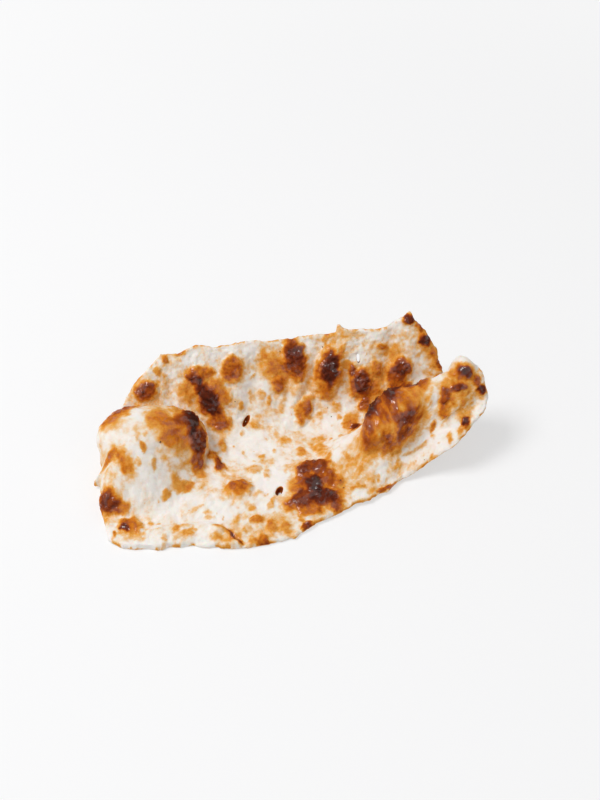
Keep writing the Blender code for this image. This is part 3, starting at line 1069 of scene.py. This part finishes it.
def floor_material(colour):
    """Plain pale floor, white to the eye, that still shows a shadow."""
    material, shader, wire = new_material("pale floor")
    shader.inputs["Base Color"].default_value = (*colour, 1.0)
    shader.inputs["Roughness"].default_value = 0.9
    shader.inputs["Specular IOR Level"].default_value = 0.1
    glow = wire.node("ShaderNodeEmission", None, {"Color": (1.0, 1.0, 1.0, 1.0), "Strength": 1.0})
    lit = Wire(wire.tree, shader.outputs[0])
    place = wire.node("ShaderNodeTexCoord", output=3)
    reach = wire.node("ShaderNodeVectorMath", {"operation": "LENGTH"}, {0: place}, output=1)
    share = reach.between(FLOOR_NEAR, FLOOR_FAR) * (1.0 - FLOOR_GLOW) + FLOOR_GLOW
    both = wire.node("ShaderNodeMixShader", None,
                     {0: seen_directly(wire) * share, 1: lit, 2: glow})
    output = wire.tree.nodes["Material Output"]
    wire.tree.links.new(both.socket, output.inputs["Surface"])
    return material


# ---- Pieces ----

def add_piece(bm, name, material):
    """Turn a bmesh into a smooth-shaded object that rides on the bread's body."""
    mesh = bpy.data.meshes.new(name)
    bm.to_mesh(mesh)
    bm.free()
    mesh.materials.append(material)
    mesh.polygons.foreach_set("use_smooth", [True] * len(mesh.polygons))
    piece = bpy.data.objects.new(name, mesh)
    bpy.context.scene.collection.objects.link(piece)
    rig.ride(piece, "root")
    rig.slot(piece, "baked_dough")
    return piece


def grid_cell(point):
    """Grid place of a point of the unit grid."""
    return (point.x + 0.5) * GRID_LONG, (point.y + 0.5) * GRID_WIDE


def cut_holes(bm, holed):
    """Cut the holes through both faces of the flat grid, and return the open edges of each."""
    cut = []
    for face in bm.faces:
        i, j = (int(value) for value in grid_cell(face.calc_center_median()))
        inside = 0 <= i < GRID_LONG and 0 <= j < GRID_WIDE and abs(face.normal.z) > 0.5
        if inside and holed[i, j]:
            cut.append(face)
    bmesh.ops.delete(bm, geom=cut, context="FACES")
    open_edges = [edge for edge in bm.edges if len(edge.link_faces) == 1]
    reach = HOLE_REACH / GRID_WIDE
    rings = []
    while open_edges:
        centre = open_edges[0].verts[0].co.xy
        ring = [edge for edge in open_edges if (edge.verts[0].co.xy - centre).length < reach]
        open_edges = [edge for edge in open_edges if edge not in ring]
        rings.append(ring)
    return rings


def build_bread(sheet, material):
    """The bread, as a grid extruded down to its underside and then moved into shape."""
    bm = bmesh.new()
    bake_and_shade_layer = bm.verts.layers.float.new("bake")
    bmesh.ops.create_grid(bm, x_segments=GRID_LONG, y_segments=GRID_WIDE, size=0.5)
    below = set(bm.verts)
    bmesh.ops.extrude_face_region(bm, geom=list(bm.faces), use_keep_orig=True)
    for vert in bm.verts:
        if vert not in below:
            vert.co.z = 0.001
    bm.normal_update()
    rings = cut_holes(bm, sheet.holed)
    for vert in bm.verts:
        cell = tuple(round(value) for value in grid_cell(vert.co))
        top = vert not in below
        vert.co = sheet.top[cell] if top else sheet.low[cell]
        vert[bake_and_shade_layer] = sheet.bake[cell] if top else sheet.low_bake[cell]
    for ring in rings:
        walls = bmesh.ops.bridge_loops(bm, edges=ring)["faces"]
        uprights = {edge for face in walls for edge in face.edges} - set(ring)
        cut = bmesh.ops.subdivide_edges(bm, edges=list(uprights), cuts=3, use_grid_fill=True)
        # the inner rings of each hole's wall take a dark bake: painted shade inside the slot
        for item in cut["geom_inner"]:
            if isinstance(item, bmesh.types.BMVert):
                item[bake_and_shade_layer] = HOLE_WALL_SHADE
    bmesh.ops.triangulate(bm, faces=bm.faces, quad_method="SHORT_EDGE")
    bmesh.ops.recalc_face_normals(bm, faces=bm.faces)
    return add_piece(bm, "naan_bread", material)


def build_specks(sheet, material, seed):
    """Flat, uneven crumbs of char, each half sunk into the crust."""
    rng = np.random.default_rng(seed)
    bm = bmesh.new()
    for s, t in SPECKS:
        point, normal = sheet.nearest(s, t)
        size = rng.uniform(*SPECK_SIZE) * MM
        spin = Matrix.Rotation(rng.uniform(0.0, math.tau), 4, "Z")
        shape = Matrix.Diagonal((size, size * rng.uniform(0.5, 0.9), size * 0.5, 1.0))
        place = Matrix.Translation(point) @ normal.to_track_quat("Z", "Y").to_matrix().to_4x4()
        bmesh.ops.create_icosphere(bm, subdivisions=1, radius=1.0, matrix=place @ spin @ shape)
    return add_piece(bm, "char_crumbs", material)


# ---- The stage ----

def add_floor(settings):
    """Plain floor at the foot of the bread."""
    bm = bmesh.new()
    bmesh.ops.create_grid(bm, x_segments=1, y_segments=1, size=settings.floor_size / 2.0)
    bmesh.ops.translate(bm, verts=bm.verts, vec=(0.0, 0.0, CAD_BOX[0][2]))
    mesh = bpy.data.meshes.new("floor")
    bm.to_mesh(mesh)
    bm.free()
    mesh.materials.append(floor_material(settings.floor_colour))
    floor = bpy.data.objects.new("floor", mesh)
    bpy.context.scene.collection.objects.link(floor)
    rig.stage(floor)


def add_lamp(name, power, size, place):
    """Square white area lamp that faces the bread."""
    lamp = bpy.data.lights.new(name, "AREA")
    lamp.energy = power
    lamp.size = size * MM
    thing = bpy.data.objects.new(name, lamp)
    thing.location = Vector(place) * MM
    thing.rotation_euler = (-Vector(place)).to_track_quat("-Z", "Y").to_euler()
    bpy.context.scene.collection.objects.link(thing)


def light_sky(scene, strength):
    """Even white light, with pure white where the camera or a reflection sees the sky."""
    world = bpy.data.worlds.new("studio")
    world.use_nodes = True
    wire = Wire(world.node_tree)
    background = world.node_tree.nodes["Background"]
    background.inputs["Color"].default_value = (1.0, 1.0, 1.0, 1.0)
    shown = seen_directly(wire) * (1.0 - strength) + strength
    world.node_tree.links.new(shown.socket, background.inputs["Strength"])
    scene.world = world


def add_camera(scene, settings):
    """Camera that looks down on the bread from the front left."""
    camera = bpy.data.cameras.new("camera")
    camera.lens = settings.lens
    camera.sensor_width = 36.0
    viewer = bpy.data.objects.new("camera", camera)
    azimuth, elevation = settings.azimuth, settings.elevation
    back = Vector((
        math.sin(azimuth) * math.cos(elevation),
        -math.cos(azimuth) * math.cos(elevation),
        math.sin(elevation),
    ))
    focus = Vector(CAMERA_FOCUS) * MM
    viewer.location = focus + back * settings.distance
    viewer.rotation_euler = back.to_track_quat("Z", "Y").to_euler()
    scene.collection.objects.link(viewer)
    scene.camera = viewer


# ---- Operators and panel ----

class NAAN_OT_bread(bpy.types.Operator):
    """Build the naan: a draped sheet with a dome, blisters, folds and slots"""

    bl_idname = "naan.bread"
    bl_label = "Naan Bread"

    def execute(self, context):
        scene = context.scene
        sheet = Sheet(scene.naan_bread)
        bread = build_bread(sheet, crust_material(scene.naan_colours))
        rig.replaces(bread, "naan")
        return {"FINISHED"}


class NAAN_OT_crumbs(bpy.types.Operator):
    """Stick the crumbs of char to the crust"""

    bl_idname = "naan.crumbs"
    bl_label = "Char Crumbs"

    def execute(self, context):
        scene = context.scene
        sheet = Sheet(scene.naan_bread)
        build_specks(sheet, char_material(scene.naan_colours), scene.naan_bread.seed)
        return {"FINISHED"}


class NAAN_OT_stage(bpy.types.Operator):
    """Add the floor, the lamps, the even light from all round and the camera"""

    bl_idname = "naan.stage"
    bl_label = "Stage"

    def execute(self, context):
        settings = context.scene.naan_stage
        add_floor(settings)
        add_lamp("key lamp", settings.key_power, KEY_SIZE, KEY_PLACE)
        add_lamp("fill lamp", settings.fill_power, FILL_SIZE, FILL_PLACE)
        light_sky(context.scene, settings.sky)
        add_camera(context.scene, settings)
        return {"FINISHED"}


class NAAN_PT_panel(bpy.types.Panel):
    """Lists the pieces and their settings"""

    bl_label = "Naan Bread"
    bl_space_type = "VIEW_3D"
    bl_region_type = "UI"
    bl_category = "Naan"

    def draw(self, context):
        groups = (
            ("naan.bread", context.scene.naan_bread),
            ("naan.crumbs", None),
            ("naan.stage", context.scene.naan_stage),
            (None, context.scene.naan_colours),
        )
        for operator, settings in groups:
            box = self.layout.box()
            names = settings.bl_rna.properties.keys() if settings else ()
            for name in names:
                if name not in ("rna_type", "name"):
                    box.prop(settings, name)
            if operator:
                box.operator(operator)


CLASSES = (
    BreadSettings, CrustColours, StageSettings,
    NAAN_OT_bread, NAAN_OT_crumbs, NAAN_OT_stage, NAAN_PT_panel,
)


def register():
    for item in CLASSES:
        bpy.utils.register_class(item)
    bpy.types.Scene.naan_bread = PointerProperty(type=BreadSettings)
    bpy.types.Scene.naan_colours = PointerProperty(type=CrustColours)
    bpy.types.Scene.naan_stage = PointerProperty(type=StageSettings)


def unregister():
    del bpy.types.Scene.naan_bread
    del bpy.types.Scene.naan_colours
    del bpy.types.Scene.naan_stage
    for item in reversed(CLASSES):
        bpy.utils.unregister_class(item)


def main():
    register()
    bpy.context.scene.view_settings.view_transform = "Standard"
    bpy.ops.naan.bread()
    bpy.ops.naan.crumbs()
    bpy.ops.naan.stage()
    bpy.context.view_layer.update()
    built = [list(corner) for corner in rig.bounds()]
    with open(SIZE_FILE, "w") as file:
        json.dump({"cad": CAD_BOX, "visual": built}, file)


if __name__ == "__main__":
    main()
